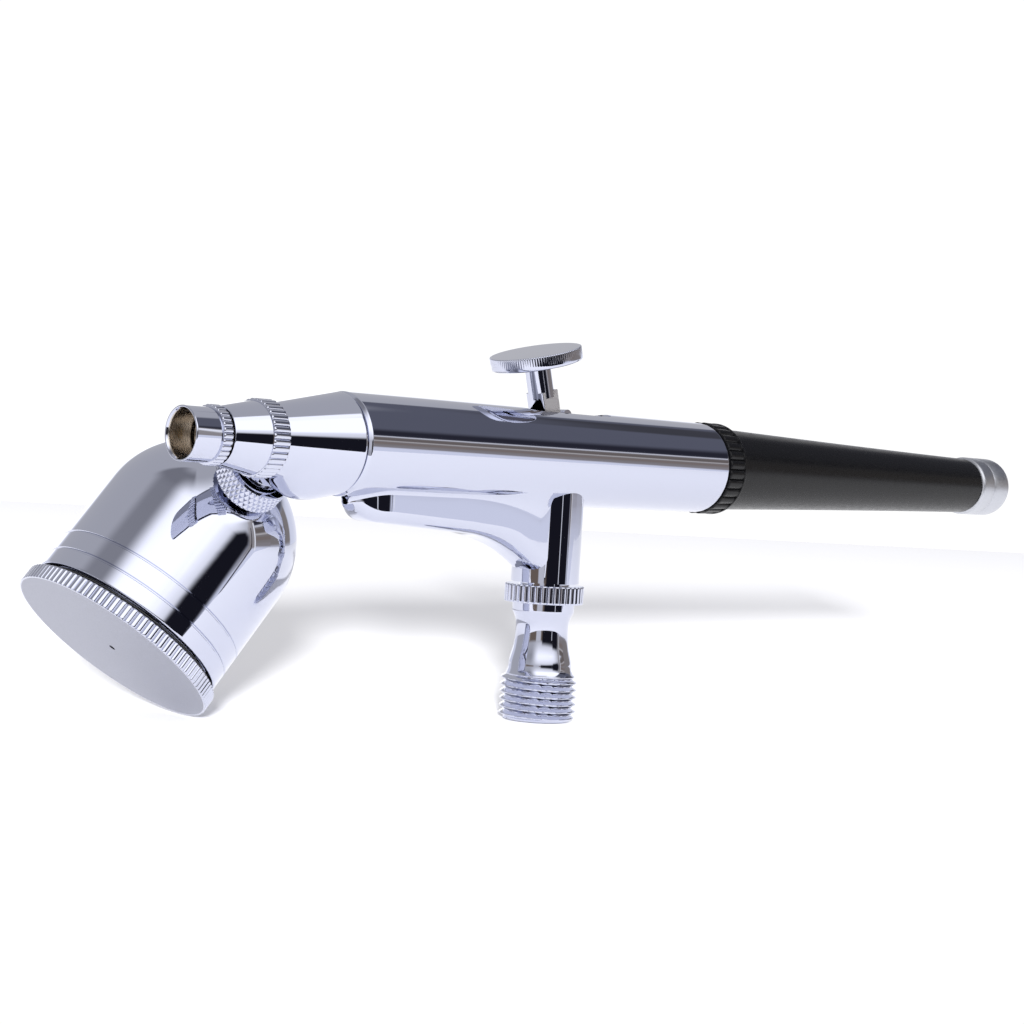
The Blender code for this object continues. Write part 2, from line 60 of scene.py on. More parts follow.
# %% [markdown]
# ## Where things are
# Everything is measured in millimetres from the core, the point where the barrel's axis
# crosses the air valve's. The frame tells where that is, and the joints tell where the
# trigger, the back lever and the cup turn. A seat is a matrix that lays a shape's own Z
# along the piece that it belongs to.

# %% Seats
MM = 0.001
joints = {joint["name"]: joint for joint in frame["joints"]}


def middle(node):
    low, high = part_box(node)
    return (low + high) / 2


CORE = Vector((middle("valve_washer").x, middle("handle").y, middle("handle").z))


def from_core(place):
    """A place of the frame, in millimetres from the core."""
    return (Vector(place) - CORE) / MM


def seat(place, along, towards=(1, 0, 0)):
    """Matrix whose Z runs along a direction, and whose X leans towards another."""
    z = Vector(along).normalized()
    x = (Vector(towards) - z * z.dot(Vector(towards))).normalized()
    turn = Matrix((x, z.cross(x), z)).transposed()
    return Matrix.Translation(place) @ turn.to_4x4()


TRIGGER_LEAN = math.radians(15.8)      # both levers lean forwards at rest
LEVER_LEAN = math.radians(25.8)
PORT_DIR = Vector(joints["cup_swivel"]["axis"])
CUP_CENTRE = from_core(joints["cup_swivel"]["pos_m"])
CUP_AXIS = Vector(joints["lid_lift"]["axis"])
PORT_ROOT = CUP_CENTRE - PORT_DIR * (CUP_CENTRE.y / PORT_DIR.y)
TRIGGER_PIVOT = from_core(joints["trigger_pull"]["pos_m"])
LEVER_PIVOT = from_core(joints["back_lever_swing"]["pos_m"])

BARREL = seat((0, 0, 0), (1, 0, 0), (0, 0, -1))
PORT = seat(PORT_ROOT, PORT_DIR)
CUP = seat(CUP_CENTRE, CUP_AXIS, (-1, 0, 0))
TRIGGER = seat(TRIGGER_PIVOT, (-math.sin(TRIGGER_LEAN), 0, math.cos(TRIGGER_LEAN)))
LEVER = seat(LEVER_PIVOT, (-math.sin(LEVER_LEAN), 0, math.cos(LEVER_LEAN)))
CUP_REACH = (CUP_CENTRE - PORT_ROOT).length
print("Core at", [round(v, 5) for v in CORE], "and cup", round(CUP_REACH, 2), "mm from the axis")

# %% [markdown]
# ## Finishes
# A finish starts from what the metal or rubber really is and how its surface was made.
# One function turns a hex colour into the linear numbers that the shader wants, one adds
# a node, and one starts a material. Patterns read Object coordinates, so they sit still
# on the piece.

# %% Helpers for finishes
def linear(code):
    """Linear colour from an sRGB hex code."""
    parts = [int(code[i:i + 2], 16) / 255 for i in (1, 3, 5)]
    return [p / 12.92 if p <= 0.04045 else ((p + 0.055) / 1.055) ** 2.4 for p in parts] + [1.0]


def add(tree, kind, feeds=(), **settings):
    """Add a node, set its properties, and feed its inputs with values or other outputs."""
    node = tree.nodes.new("ShaderNode" + kind)
    for name, value in settings.items():
        setattr(node, name, value)
    for name, value in dict(feeds).items():
        if isinstance(value, bpy.types.NodeSocket):
            tree.links.new(value, node.inputs[name])
        else:
            node.inputs[name].default_value = value
    return node


def new_finish(name, base, metallic, roughness):
    made = bpy.data.materials.new(name)
    made.use_nodes = True
    shader = made.node_tree.nodes["Principled BSDF"]
    shader.inputs["Base Color"].default_value = linear(base)
    shader.inputs["Metallic"].default_value = metallic
    shader.inputs["Roughness"].default_value = roughness
    made.diffuse_color = linear(base)
    return made, made.node_tree, shader


def in_mm(tree, stretch=(1, 1, 1)):
    """Object coordinates in millimetres, stretched along an axis if a pattern needs it."""
    where = add(tree, "TexCoord")
    size = [s / MM for s in stretch]
    return add(tree, "Mapping", {"Vector": where.outputs["Object"], "Scale": size}).outputs[0]


def spread(tree, value, low, high):
    """Move a noise value, which stays near the middle, to a range of numbers."""
    return add(tree, "MapRange", {"Value": value, "From Min": 0.3, "From Max": 0.7,
                                  "To Min": low, "To Max": high}).outputs[0]


def bumped(tree, shader, height, distance_mm, strength=1.0):
    bump = add(tree, "Bump", {"Height": height, "Distance": distance_mm * MM,
                              "Strength": strength})
    tree.links.new(bump.outputs[0], shader.inputs["Normal"])


# %% [markdown]
# ### Chrome
# The body is turned brass with nickel and a thin layer of bright chromium, which has a
# slight blue cast. The buffing wheel leaves it nearly a perfect mirror. What keeps it
# from looking like glass is that the mirror is not quite flat: the polish waves it by
# less than a micrometre over a few millimetres, and handling leaves faint patches that
# are a touch less sharp.

# %% Chrome finishes
def make_chrome():
    made, tree, shader = new_finish("bright_chrome_plate", "#c8cbda", 1.0, 0.03)
    handled = add(tree, "TexNoise", {"Vector": in_mm(tree), "Scale": 0.16, "Detail": 4.0})
    tree.links.new(spread(tree, handled.outputs[0], 0.012, 0.05), shader.inputs["Roughness"])
    buffed = add(tree, "TexNoise", {"Vector": in_mm(tree, (0.25, 1, 1)), "Scale": 0.5,
                                    "Detail": 1.5})
    bumped(tree, shader, buffed.outputs[0], 0.004)
    return made


def make_lapped_chrome_painted_shade():
    """The lid's face: faced flat on the lathe, then plated, so it stays satin. Its darker base colour is painted
    shade.
    """
    # Base colour #a0a2ae is darker than the bright chrome's #c8cbda. That darkness is painted shade for the dimmer
    # light the lid's face gets; the satin itself comes from the roughness.
    made, tree, shader = new_finish("satin_chrome_face_painted_shade", "#a0a2ae", 1.0, 0.38)
    grain = add(tree, "TexNoise", {"Vector": in_mm(tree), "Scale": 6.0, "Detail": 3.0})
    tree.links.new(spread(tree, grain.outputs[0], 0.34, 0.42), shader.inputs["Roughness"])
    bumped(tree, shader, grain.outputs[0], 0.002)
    return made


def make_milled_chrome():
    """The flats of the trigger lever, milled and plated but never buffed."""
    made, tree, shader = new_finish("milled_chrome_flat", "#c9c7c8", 1.0, 0.45)
    cutter = add(tree, "TexNoise", {"Vector": in_mm(tree, (1, 1, 4)), "Scale": 2.5,
                                    "Detail": 5.0})
    tree.links.new(spread(tree, cutter.outputs[0], 0.36, 0.55), shader.inputs["Roughness"])
    bumped(tree, shader, cutter.outputs[0], 0.02)
    return made


def make_bore_chrome():
    """Inside the needle cap the plating is thin and shows warm, with the boring tool's rings."""
    made, tree, shader = new_finish("bored_nickel", "#c6beb4", 1.0, 0.24)
    rings = add(tree, "TexNoise", {"Vector": in_mm(tree, (8, 0.2, 0.2)), "Scale": 1.0,
                                   "Detail": 3.0})
    tree.links.new(spread(tree, rings.outputs[0], 0.18, 0.34), shader.inputs["Roughness"])
    bumped(tree, shader, rings.outputs[0], 0.0015)
    return made


CHROME = make_chrome()
LAPPED_PAINTED_SHADE = make_lapped_chrome_painted_shade()
MILLED = make_milled_chrome()
BORED = make_bore_chrome()
print("Chrome finishes:", [m.name for m in (CHROME, LAPPED_PAINTED_SHADE, MILLED, BORED)])

# %% [markdown]
# ### Anodised aluminium, brass, steel, rubber and PTFE
# Black anodising is a glassy oxide layer full of dye, so it shines like a dark plastic
# and not like a metal. The silver end cap was blasted before it was anodised, which
# leaves an even satin. The inner pieces get plain turned brass, ground steel, moulded
# rubber and machined PTFE.

# %% Other finishes
def make_black():
    made, tree, shader = new_finish("black_anodised_aluminium", "#060607", 0.0, 0.28)
    shader.inputs["Specular IOR Level"].default_value = 0.22
    grain = add(tree, "TexNoise", {"Vector": in_mm(tree, (0.3, 1, 1)), "Scale": 3.0,
                                   "Detail": 5.0})
    tree.links.new(spread(tree, grain.outputs[0], 0.22, 0.34), shader.inputs["Roughness"])
    bumped(tree, shader, grain.outputs[0], 0.0012)
    return made


def make_satin():
    made, tree, shader = new_finish("satin_anodised_aluminium", "#c6c8ce", 1.0, 0.36)
    blasted = add(tree, "TexNoise", {"Vector": in_mm(tree), "Scale": 5.0, "Detail": 4.0})
    tree.links.new(spread(tree, blasted.outputs[0], 0.3, 0.44), shader.inputs["Roughness"])
    bumped(tree, shader, blasted.outputs[0], 0.012)
    return made


def make_plain(name, base, metallic, roughness, grain_per_mm, height_mm):
    """A finish with one even grain, for pieces that hardly show."""
    made, tree, shader = new_finish(name, base, metallic, roughness)
    grain = add(tree, "TexNoise", {"Vector": in_mm(tree), "Scale": grain_per_mm, "Detail": 4.0})
    tree.links.new(spread(tree, grain.outputs[0], roughness - 0.06, roughness + 0.06),
                   shader.inputs["Roughness"])
    bumped(tree, shader, grain.outputs[0], height_mm)
    return made


BLACK = make_black()
SATIN = make_satin()
BRASS = make_plain("turned_brass", "#d9b878", 1.0, 0.24, 3.0, 0.004)
STEEL = make_plain("ground_stainless_steel", "#c4c4c2", 1.0, 0.2, 4.0, 0.002)
RUBBER = make_plain("moulded_nitrile_rubber", "#161616", 0.0, 0.62, 2.0, 0.01)
PTFE = make_plain("machined_ptfe", "#ecebe6", 0.0, 0.5, 2.0, 0.004)
FINISHES = {"polished_chrome": CHROME, "brass": BRASS, "stainless_steel": STEEL,
            "black_anodised_aluminium": BLACK, "satin_aluminium": SATIN,
            "black_rubber": RUBBER, "white_ptfe": PTFE}
slot_of = {part["node"]: part["material_slot"] for part in record["subparts"]}
body_of = {node: body for body, members in record["behaviour"]["bodies"].items()
           for node in members}
for node, solid in frame["nodes"].items():
    solid.data.materials.clear()
    solid.data.materials.append(FINISHES[slot_of[node]])
print("Every solid has one of", len(FINISHES), "finishes")

# %% [markdown]
# ## Turning
# An airbrush is made on a lathe, and so is this one: a piece is an outline of points,
# each a distance along the axis and a radius, spun once round. Real edges are broken by
# a small rounding, and that rounding is what catches the light, so each corner of an
# outline can carry one. A point just outside each rounding keeps the long faces flat and
# true next to it.

# %% The lathe
ROUNDING_STEPS = 3
SUPPORT = 1.7                          # support points stand this many roundings away


def rounded(corners):
    """Outline points from corners of (along, radius, rounding) in mm."""
    points = []
    for i, (along, radius, rounding) in enumerate(corners):
        here = Vector((along, radius))
        if not rounding:
            points.append(here)
            continue
        legs = [Vector(corners[j % len(corners)][:2]) - here for j in (i - 1, i + 1)]
        before, after = [here + leg.normalized() * rounding for leg in legs]
        outer = [here + leg.normalized() * min(rounding * SUPPORT, leg.length * 0.45)
                 for leg in legs]
        points.append(outer[0])
        for step in range(ROUNDING_STEPS + 1):
            t = step / ROUNDING_STEPS
            points.append(before * (1 - t) ** 2 + here * 2 * t * (1 - t) + after * t * t)
        points.append(outer[1])
    return [tuple(point) for point in points]


def spun(outline, steps=192):
    """Bmesh in mm of an outline of (along, radius) points, spun a full turn about Z."""
    shape = bmesh.new()
    corners = [shape.verts.new((radius, 0, along)) for along, radius in outline]
    run = [shape.edges.new(pair) for pair in zip(corners, corners[1:])]
    if outline[0][1] > 0:
        run.append(shape.edges.new((corners[-1], corners[0])))
    bmesh.ops.spin(shape, geom=corners + run, cent=(0, 0, 0), axis=(0, 0, 1),
                   angle=2 * math.pi, steps=steps, use_merge=True)
    bmesh.ops.remove_doubles(shape, verts=shape.verts, dist=1e-4)
    bmesh.ops.recalc_face_normals(shape, faces=shape.faces)
    return shape


def rod(low, high, radius, steps=96):
    return spun([(high, 0), (high, radius), (low, radius), (low, 0)], steps)


def placed(shape, spot):
    """Lay a shape on its seat, in mm from the core."""
    shape.transform(spot)
    return shape


def finished(shape, node, finishes=None, crease=35):
    """Make a shape, in mm from the core, the piece that stands for a solid of the frame."""
    shape.transform(Matrix.Translation(CORE) @ Matrix.Scale(MM, 4))
    name = "looks_" + node
    mesh = bpy.data.meshes.new(name)
    shape.to_mesh(mesh)
    shape.free()
    mesh.shade_smooth()
    mesh.set_sharp_from_angle(angle=math.radians(crease))
    for finish in finishes or [FINISHES[slot_of[node]]]:
        mesh.materials.append(finish)
    piece = bpy.data.objects.new(name, mesh)
    bpy.context.scene.collection.objects.link(piece)
    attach(piece, body_of[node])
    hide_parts(node)
    print(name, "has", sum(len(p.vertices) - 2 for p in mesh.polygons), "triangles")
    return piece


# %% [markdown]
# ## Flutes and knurls
# Rings that fingers turn are cut with straight flutes or rolled with a diamond knurl.
# Both are made after the spin, by moving points in towards the axis. A bar of a fluted
# ring is a slightly round ridge, so its profile across is an arc, and the grooves between
# bars stay sharp. A knurl is two sets of slanted grooves, and the deeper one wins.

# %% Flutes and knurls
def press_in(shape, low, high, least, depth_at):
    """Move the points between two distances, and beyond a radius, in by depth_at(turn, along)."""
    for vert in shape.verts:
        radius = math.hypot(vert.co.x, vert.co.y)
        if low < vert.co.z < high and radius > least:
            turn = math.atan2(vert.co.y, vert.co.x) / (2 * math.pi)
            left = (radius - depth_at(turn, vert.co.z)) / radius
            vert.co.x *= left
            vert.co.y *= left


def bars(count, depth):
    """Round-topped bars with a sharp groove between each two."""
    def depth_at(turn, along):
        across = (turn * count % 1) * 2 - 1
        return depth * (1 - math.sqrt(max(0.0, 1 - across * across)))
    return depth_at


def diamonds(count, pitch, depth):
    """Diamond knurl: count starts each way round, and one row every pitch mm along."""
    def depth_at(turn, along):
        rise = [abs((turn * count + side * along / pitch) % 1 * 2 - 1) for side in (0.5, -0.5)]
        return depth * max(rise)
    return depth_at


# %% [markdown]
# ## Joining and cutting
# The barrel, the head and the trigger lever are not round all over. Their parts are made
# one by one and united or cut with exact Booleans, which leaves one closed skin.

# %% Joining and cutting
def loose(shape):
    """A temporary object from a bmesh."""
    mesh = bpy.data.meshes.new("loose")
    shape.to_mesh(mesh)
    shape.free()
    made = bpy.data.objects.new("loose", mesh)
    bpy.context.scene.collection.objects.link(made)
    return made


def worked(shape, joins=(), cuts=()):
    """Bmesh of a shape with others joined to it and then cut from it."""
    target = loose(shape)
    tools = []
    for tool, operation in [(t, "UNION") for t in joins] + [(t, "DIFFERENCE") for t in cuts]:
        step = target.modifiers.new("step", "BOOLEAN")
        step.operation = operation
        step.solver = "EXACT"
        step.object = loose(tool)
        tools.append(step.object)
    mesh = bpy.data.meshes.new_from_object(
        target.evaluated_get(bpy.context.evaluated_depsgraph_get()))
    result = bmesh.new()
    result.from_mesh(mesh)
    for used in [target] + tools:
        bpy.data.objects.remove(used)
    open_edges = sum(not edge.is_manifold for edge in result.edges)
    print("Joined and cut with", len(tools), "tools; open edges:", open_edges)
    return result


def slab(low, high):
    """A plain box between two corners, in mm."""
    shape = bmesh.new()
    bmesh.ops.create_cube(shape, size=1.0)
    size = Vector(high) - Vector(low)
    bmesh.ops.scale(shape, vec=size, verts=shape.verts)
    bmesh.ops.translate(shape, vec=(Vector(high) + Vector(low)) / 2, verts=shape.verts)
    return shape


def cross_rod(place, radius, half, steps=48):
    """A round bar across the tool, along Y."""
    shape = rod(-half, half, radius, steps)
    return placed(shape, seat(place, (0, 1, 0)))


# %% [markdown]
# ## The nose
# The needle cap is a short tube that shields the needle's tip. It screws into the nozzle
# cap, a cone with a fluted ring at its wide end. Down the bore you can see the brass
# fluid nozzle around the needle.

# %% Needle cap, nozzle cap and fluid nozzle
NOSE_TIP = -56.7
CAP_R = 3.07
CAP_BORE = 2.65


def make_needle_cap():
    ring_r, ring_front, rear = 3.39, NOSE_TIP + 3.4, NOSE_TIP + 4.6
    outline = rounded([(rear, ring_r, 0.12), (ring_front, ring_r, 0.12),
                       (ring_front - 0.05, CAP_R, 0.0), (NOSE_TIP, CAP_R, 0.1),
                       (NOSE_TIP, CAP_R - 0.2, 0.05), (NOSE_TIP + 0.35, CAP_BORE, 0.1),
                       (rear, CAP_BORE, 0.0)])
    shape = spun(outline, 300)
    press_in(shape, ring_front - 0.01, rear + 0.01, CAP_R + 0.1, bars(30, 0.22))
    for face in shape.faces:
        centre = face.calc_center_median()
        inside = math.hypot(centre.x, centre.y) < CAP_BORE + 0.08
        face.material_index = int(inside)
    finished(placed(shape, BARREL), "needle_cap", [CHROME, BORED])


def make_nozzle_cap():
    ring_r, rear, ring_front, cone_front = 4.45, -45.1, -47.34, NOSE_TIP + 4.9
    outline = rounded([(rear, ring_r, 0.15), (ring_front, ring_r, 0.15),
                       (ring_front - 0.05, 4.18, 0.0), (cone_front, 3.29, 0.08),
                       (cone_front, 2.3, 0.0), (-53.4, 2.3, 0.15), (-53.4, 0.85, 0.05),
                       (-52.7, 0.85, 0.0), (-52.0, 1.5, 0.0), (-51.0, 1.5, 0.0),
                       (-50.7, 2.6, 0.0), (-47.8, 2.6, 0.0), (-47.5, 3.25, 0.0),
                       (rear, 3.25, 0.0)])
    shape = spun(outline, 396)
    press_in(shape, ring_front - 0.01, rear + 0.01, 4.25, bars(36, 0.26))
    for face in shape.faces:
        face.material_index = int(face.calc_center_median().z < cone_front - 0.01)
    finished(placed(shape, BARREL), "nozzle_cap", [CHROME, BORED])


def make_fluid_nozzle():
    outline = rounded([(-45.9, 1.25, 0.0), (-48.6, 1.25, 0.0), (-48.6, 2.0, 0.1),
                       (-49.9, 2.0, 0.1), (-50.2, 1.3, 0.1), (-53.1, 0.5, 0.03),
                       (-53.1, 0.3, 0.03), (-49.5, 0.85, 0.0), (-45.9, 0.85, 0.0)])
    finished(placed(spun(outline, 96), BARREL), "fluid_nozzle")


make_needle_cap()
make_nozzle_cap()
make_fluid_nozzle()

# %% [markdown]
# ## The fluid head
# The head is a cone that swells, on one side, towards the cup's port. A round belly is
# blended into the cone by taking the larger of two radii in every direction, with a soft
# step between them, and the belly is cut flat where the port begins. The port's short
# boss is turned separately and united with it.

# %% Fluid head
HEAD_BACK, HEAD_JOINT = -35.4, -35.12
HEAD_FRONT = -44.9
HEAD_FRONT_R = 4.05
HEAD_BACK_R = 6.0
BELLY = Vector((-38.8, 1.3, -1.4))
BELLY_LONG, BELLY_R = 5.8, 5.3
PORT_FLAT = 5.5                        # the belly stops this far along the port


def soft_max(a, b, blend):
    """The larger of two values, rounded off where they are close."""
    near = max(blend - abs(a - b), 0.0) / blend
    return max(a, b) + near * near * blend / 4


def belly_radius(x, across):
    """How far the belly reaches from the barrel's axis at x, in the direction across."""
    inside = 1 - ((x - BELLY.x) / BELLY_LONG) ** 2
    if inside <= 0:
        return 0.0
    centre = Vector((0, BELLY.y, BELLY.z))
    shift = centre.dot(across)
    reach = shift * shift - centre.length_squared + BELLY_R ** 2 * inside
    if reach <= 0:
        return 0.0
    flat = PORT_FLAT / max(PORT_DIR.dot(across), 0.01)
    return -soft_max(-(shift + math.sqrt(reach)), -flat, 0.15)


def make_fluid_head():
    stations = 90
    cone = [(HEAD_BACK + (HEAD_FRONT - HEAD_BACK) * i / stations,
             HEAD_BACK_R + (HEAD_FRONT_R - HEAD_BACK_R) * i / stations)
            for i in range(stations + 1)]
    outline = [(-31.6, 0.95), (-31.6, 4.1), (HEAD_JOINT, 4.1), (HEAD_JOINT, 5.62)]
    outline += [(HEAD_BACK - 0.08, 5.95)] + cone[2:] + [(HEAD_FRONT, 2.95), (-47.2, 2.95)]
    outline += [(-47.2, 1.6), (-45.6, 1.6), (-45.6, 0.95)]
    shape = placed(spun(outline, 256), BARREL)
    for vert in shape.verts:
        radius = math.hypot(vert.co.y, vert.co.z)
        if HEAD_FRONT < vert.co.x < HEAD_BACK - 0.02 and radius > 3.5:
            across = Vector((0, vert.co.y, vert.co.z)) / radius
            fade = min(1.0, (HEAD_BACK - vert.co.x) / 0.6)
            wide = soft_max(radius, belly_radius(vert.co.x, across), 1.1)
            vert.co = Vector((vert.co.x, 0, 0)) + across * (radius + (wide - radius) * fade)
    boss = rounded([(6.4, 1.0, 0.0), (6.4, 2.5, 0.08), (5.6, 2.5, 0.0), (5.6, 3.1, 0.12),
                    (4.9, 3.1, 0.0), (4.5, 2.4, 0.0), (1.5, 2.4, 0.0), (1.5, 1.0, 0.0)])
    head = worked(shape, joins=[placed(spun(boss, 128), PORT)],
                  cuts=[placed(rod(0.0, 7.0, 1.0, 64), PORT)])
    finished(head, "fluid_head")


make_fluid_head()

# %% [markdown]
# ## The barrel
# The barrel is a straight tube with the valve's stem standing under it. A brace joins
# the two and carries the air forwards inside it. Its sides are flat, its lower edges are
# round, and a hollow fillet leads up into the tube and swells towards the stem. Each
# cross-section of the brace follows from its place along the barrel, so a plain grid is
# wrapped round those sections.

# %% The brace
BARREL_R = 6.08
BARREL_FRONT, BARREL_REAR = -35.1, 27.7
STEM_R, STEM_END = 4.34, -15.8
BRACE_HALF = 3.2
BRACE_TIP, BRACE_END = -33.4, -1.5
TIP_LENGTH, TIP_TOP, TIP_LOW = 4.0, -5.6, -8.9
SLOPE, SWEEP, SWEEP_FROM = 0.067, 0.026, -16.0
BRACE_STATIONS = 170
FILLET_STEPS, EDGE_STEPS = 16, 12


def smooth_step(value):
    value = min(1.0, max(0.0, value))
    return value * value * (3 - 2 * value)


def brace_bottom(x):
    """Height of the brace's underside: a rounded tip, a long slope, then a sweep down."""
    past_tip = x - BRACE_TIP - TIP_LENGTH
    if past_tip < 0:
        t = past_tip / TIP_LENGTH
        return TIP_TOP + (TIP_LOW - TIP_TOP) * math.sqrt(max(0.0, 1 - t * t))
    return TIP_LOW - SLOPE * past_tip - SWEEP * max(0.0, x - SWEEP_FROM) ** 2


def brace_fillet(x):
    """Radius of the hollow between brace and tube, which swells towards the stem."""
    swell = 6.0 * max(0.0, (x + 20.0) / 16.0) ** 3
    return 0.8 + swell * min(1.0, max(0.0, (-2.6 - x) / 2.0))


def brace_half_section(x):
    """Right half of the brace's cross-section, from inside the tube to its underside."""
    tip = min(1.0, (x - BRACE_TIP) / 5.0)
    half = BRACE_HALF * math.sqrt(max(0.02, 1 - (1 - tip) ** 2))
    radius = brace_fillet(x)
    centre = Vector((half + radius, -math.sqrt((BARREL_R + radius - 0.01) ** 2
                                               - (half + radius) ** 2)))
    start = math.atan2(-centre.y, -centre.x)
    points = [(half * 0.5, -3.0)]
    for i in range(FILLET_STEPS + 1):
        angle = start + (math.pi - start) * i / FILLET_STEPS
        points.append((centre.x + radius * math.cos(angle), centre.y + radius * math.sin(angle)))
    bottom = min(brace_bottom(x), points[-1][1] - 0.2)
    round_r = 1.5 + 1.2 * smooth_step((x + 15.0) / 9.0)
    edge = min(round_r, half * 0.8, points[-1][1] - bottom)
    for i in range(EDGE_STEPS + 1):
        angle = math.radians(90 * i / EDGE_STEPS)
        points.append((half - edge + edge * math.cos(angle),
                       bottom + edge - edge * math.sin(angle)))
    return points


def make_brace():
    half_count = len(brace_half_section(-10.0))
    around = 2 * half_count
    shape = bmesh.new()
    bmesh.ops.create_grid(shape, x_segments=BRACE_STATIONS, y_segments=around, size=0.5)
    for vert in shape.verts:
        share = vert.co.x + 0.5
        index = round((vert.co.y + 0.5) * around) % around
        x = BRACE_TIP + 0.02 + (BRACE_END - BRACE_TIP - 0.02) * share ** 1.5
        right = brace_half_section(x)
        y, z = right[index] if index < half_count else right[around - 1 - index]
        vert.co = (x, y if index < half_count else -y, z)
    bmesh.ops.remove_doubles(shape, verts=shape.verts, dist=1e-5)
    bmesh.ops.holes_fill(shape, edges=[edge for edge in shape.edges if edge.is_boundary])
    bmesh.ops.recalc_face_normals(shape, faces=shape.faces)
    return shape


# %% [markdown]
# The tube, stem and brace are united, and then the slot for the trigger and the bores
# are cut. The slot's cutter is a round bar whose rear half is pulled back, which gives it
# two round ends.

# %% The barrel
SLOT_HALF, SLOT_FRONT, SLOT_REAR = 1.95, -6.5, 9.4


def make_slot_cutter():
    shape = rod(1.3, 11.3, SLOT_HALF, 62)
    rear = [vert for vert in shape.verts if vert.co.x > 1e-3]
    stretch = SLOT_REAR - SLOT_FRONT - 2 * SLOT_HALF
    bmesh.ops.translate(shape, vec=(stretch, 0, 0), verts=rear)
    bmesh.ops.translate(shape, vec=(SLOT_FRONT + SLOT_HALF, 0, 0), verts=shape.verts)
    return shape


def make_barrel():
    outline = rounded([(BARREL_REAR, 0, 0), (BARREL_REAR, BARREL_R, 0.2),
                       (BARREL_FRONT + 0.3, BARREL_R, 0.08), (BARREL_FRONT, BARREL_R - 0.3, 0.0),
                       (BARREL_FRONT, 0, 0)])
    tube = placed(spun(outline, 256), BARREL)
    stem = rod(STEM_END, -1.0, STEM_R, 192)
    start, end = Vector((-1.0, 0, -7.6)), Vector((-31.2, 0, -3.2))
    bores = [placed(rod(BARREL_FRONT - 1, BARREL_FRONT + 4.5, 4.4), BARREL),
             placed(rod(BARREL_FRONT, -9.0, 1.1, 48), BARREL),
             placed(rod(-17.0, -9.0, 2.0, 48), BARREL),
             placed(rod(-10.0, BARREL_REAR + 1, 4.5), BARREL),
             rod(-9.5, -1.0, 2.5, 48), rod(STEM_END - 1, -9.0, 3.5, 64),
             placed(rod(0.0, (end - start).length, 0.65, 24), seat(start, end - start))]
    barrel = worked(tube, joins=[stem, make_brace()], cuts=[make_slot_cutter()] + bores)
    finished(barrel, "barrel")


make_barrel()

# %% [markdown]
# ## Handle
# The handle is a long, slightly hollow taper of black anodised aluminium, with a fluted
# ring where it meets the barrel and a satin silver cap on its end.

# %% Handle, ring and end cap
HANDLE_FRONT, HANDLE_REAR = 31.5, 91.2
HANDLE_FRONT_R, HANDLE_REAR_R = 5.6, 4.24
HANDLE_BOW = 0.3
RING_R = 6.27
TOOL_REAR, END_CAP_R = 100.0, 4.5


def make_handle():
    steps = 40
    outline = []
    for i in range(steps + 1):
        t = 1 - i / steps
        radius = HANDLE_FRONT_R + (HANDLE_REAR_R - HANDLE_FRONT_R - HANDLE_BOW * (1 - t)) * t
        outline.append((HANDLE_FRONT + (HANDLE_REAR - HANDLE_FRONT) * t, radius))
    outline += [(HANDLE_FRONT, 4.2), (21.6, 4.2), (21.6, 3.3), (85.0, 3.3), (85.3, 3.0),
                (HANDLE_REAR, 3.0)]
    finished(placed(spun(outline, 192), BARREL), "handle")


def make_handle_ring():
    front, rear = 28.0, 31.2
    outline = rounded([(rear, RING_R - 0.02, 0.08), (rear - 0.35, RING_R - 0.02, 0.05),
                       (rear - 0.4, RING_R - 0.06, 0.0), (front, RING_R, 0.2),
                       (front, 4.5, 0.0), (rear, 4.5, 0.0)])
    shape = spun(outline, 28 * 14)
    press_in(shape, front - 0.01, rear - 0.36, RING_R - 0.4, bars(28, 0.42))
    finished(placed(shape, BARREL), "handle_ring")


def make_end_cap():
    dome, front = 2.2, HANDLE_REAR + 0.3
    outline = [(TOOL_REAR, 0)]
    for i in range(17):
        angle = math.radians(90 - 90 * i / 16)
        outline.append((TOOL_REAR - dome + dome * math.sin(angle),
                        END_CAP_R - dome + dome * math.cos(angle)))
    outline += rounded([(TOOL_REAR - 5.0, END_CAP_R, 0.0), (TOOL_REAR - 5.3, END_CAP_R - 0.1, 0.0),
                        (TOOL_REAR - 5.6, END_CAP_R, 0.0), (front, END_CAP_R, 0.5),
                        (front, 2.7, 0.0), (86.0, 2.7, 0.0)])
    outline.append((86.0, 0))
    finished(placed(spun(outline, 192), BARREL), "handle_end_cap")


make_handle()
make_handle_ring()
make_end_cap()

# %% [markdown]
# ## Trigger and back lever
# A button with a finely serrated edge sits on a round post. Below it the lever is a slab
# with a rounded nose, milled flat on its sides, and it reaches down through the slot to
# its pivot. Just behind it the back lever's round tip shows.

# %% Trigger
BUTTON_R, BUTTON_BASE, BUTTON_TOP = 5.85, 14.7, 16.44
LEVER_HALF = 1.5


def make_button():
    outline = rounded([(BUTTON_TOP, 0, 0), (BUTTON_TOP, BUTTON_R, 0.14),
                       (BUTTON_BASE, BUTTON_R, 0.4), (BUTTON_BASE, 1.1, 0.0),
                       (BUTTON_BASE + 1.2, 1.1, 0.0), (BUTTON_BASE + 1.2, 0, 0)])
    outline[1:1] = [(BUTTON_TOP, BUTTON_R - 0.4)]
    shape = spun(outline, 112 * 6)
    press_in(shape, BUTTON_TOP - 0.4, BUTTON_TOP + 0.01, BUTTON_R - 0.16, bars(112, 0.06))
    finished(placed(shape, TRIGGER), "trigger_button", crease=50)


